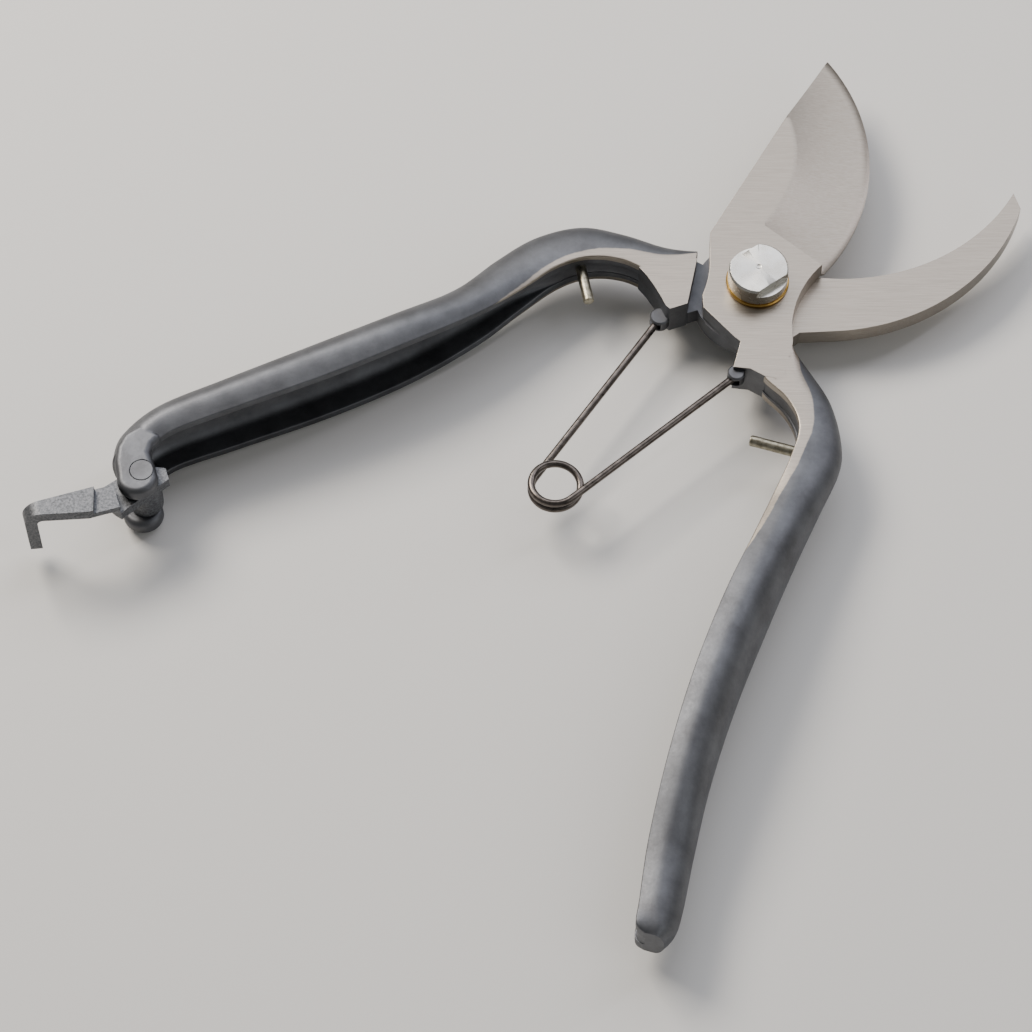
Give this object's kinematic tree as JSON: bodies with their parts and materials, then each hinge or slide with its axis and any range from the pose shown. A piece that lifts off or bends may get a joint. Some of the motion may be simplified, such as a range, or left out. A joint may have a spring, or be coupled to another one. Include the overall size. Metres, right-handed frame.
{
  "type": "bypass secateurs",
  "caption": "Forged bypass secateurs with hollow handles, a two-legged torsion spring and a swinging handle catch.",
  "frame": {"origin": "on the pivot axis, in the plane that the tool lies on when the bolt head is up", "axes": "+Z along the pivot axis towards the bolt head; +Y towards the cutting blade's side of the mouth; +X towards the counter blade"},
  "size_m": [0.1978, 0.1993, 0.0185],
  "materials": {
    "forged_steel": "satin",
    "bolt_steel": "satin",
    "washer_brass": "satin",
    "spring_wire": "satin",
    "pin_steel": "satin",
    "cast_catch": "matte"
  },
  "bodies": {
    "blade_side": {"blade_arm": "forged_steel", "pivot_bolt": "bolt_steel", "head_washer": "washer_brass", "back_washer": "bolt_steel", "pivot_nut": "bolt_steel", "guard_pin_blade": "pin_steel"},
    "counter_side": {"counter_arm": "forged_steel", "guard_pin_counter": "pin_steel", "latch_rivet": "pin_steel"},
    "spring_upper": {"spring_leg_blade": "spring_wire"},
    "spring_lower": {"spring_leg_counter": "spring_wire"},
    "catch": {"latch": "cast_catch"}
  },
  "joints": [
    {"name": "handle_pivot", "type": "hinge", "parent": "blade_side", "child": "counter_side", "pos_m": [0, 0, 0], "axis": [0, 0, 1], "range_deg": [0, 54], "stiffness_Nm_per_rad": 0.6},
    {"name": "spring_seat", "type": "hinge", "parent": "blade_side", "child": "spring_upper", "pos_m": [-0.00477, -0.02066, 0.009], "axis": [0, 0, 1], "range_deg": [0, 45]},
    {"name": "spring_coil", "type": "hinge", "parent": "spring_upper", "child": "spring_lower", "pos_m": [-0.0405, -0.0449, 0.009], "axis": [0, 0, 1], "range_deg": [-26, 0]},
    {"name": "latch_swing", "type": "hinge", "parent": "counter_side", "child": "catch", "pos_m": [-0.1204, -0.0462, 0.009], "axis": [0, 0, 1], "range_deg": [0, 90]}
  ],
  "couplings": [
    {"joint": "spring_seat", "follows": "handle_pivot", "ratio": 0.796},
    {"joint": "spring_coil", "follows": "handle_pivot", "ratio": -0.45}
  ]
}
